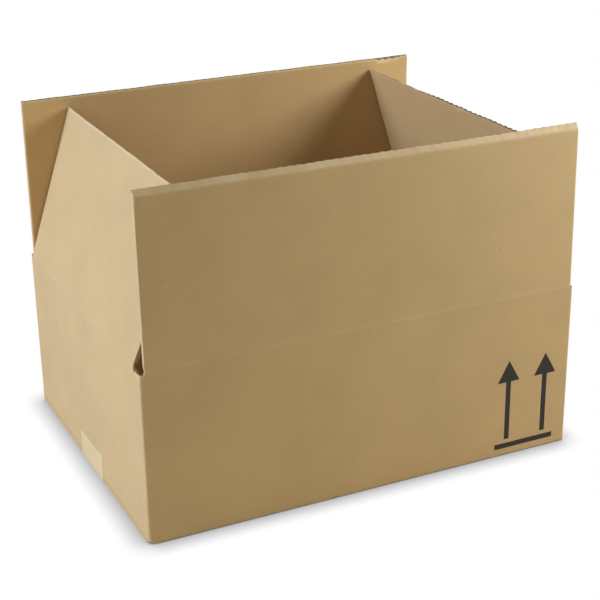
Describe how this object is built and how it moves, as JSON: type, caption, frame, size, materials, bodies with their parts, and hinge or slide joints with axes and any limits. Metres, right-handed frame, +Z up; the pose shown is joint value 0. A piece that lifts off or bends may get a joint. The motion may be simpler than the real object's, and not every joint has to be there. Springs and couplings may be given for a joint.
{
  "type": "open cardboard box",
  "caption": "Open slotted carton of corrugated kraft board with hinged top flaps, a folded and taped bottom, and printed this-way-up arrows.",
  "frame": {"origin": "middle of the underside, on the floor that the box stands on", "axes": "+X along the long walls, +Y from the front wall to the back wall, +Z up"},
  "size_m": [0.4004, 0.3, 0.297],
  "materials": {
    "board": "matt brown kraft paper",
    "tape": "buff paper tape, slightly smooth"
  },
  "bodies": {
    "box": {"carton": "board", "bottom_tape": "tape"},
    "front": {"front_flap": "board"},
    "back": {"back_flap": "board"},
    "left": {"left_flap": "board"},
    "right": {"right_flap": "board"}
  },
  "joints": [
    {"name": "front_crease", "type": "hinge", "parent": "box", "child": "front", "pos_m": [0, -0.15, 0.153], "axis": [1, 0, 0], "range_deg": [0, 171]},
    {"name": "back_crease", "type": "hinge", "parent": "box", "child": "back", "pos_m": [0, 0.15, 0.153], "axis": [-1, 0, 0], "range_deg": [0, 170.6]},
    {"name": "left_crease", "type": "hinge", "parent": "box", "child": "left", "pos_m": [-0.2, 0, 0.153], "axis": [0, -1, 0], "range_deg": [-71.7, 188.3]},
    {"name": "right_crease", "type": "hinge", "parent": "box", "child": "right", "pos_m": [0.2, 0, 0.153], "axis": [0, 1, 0], "range_deg": [-73, 187]}
  ]
}
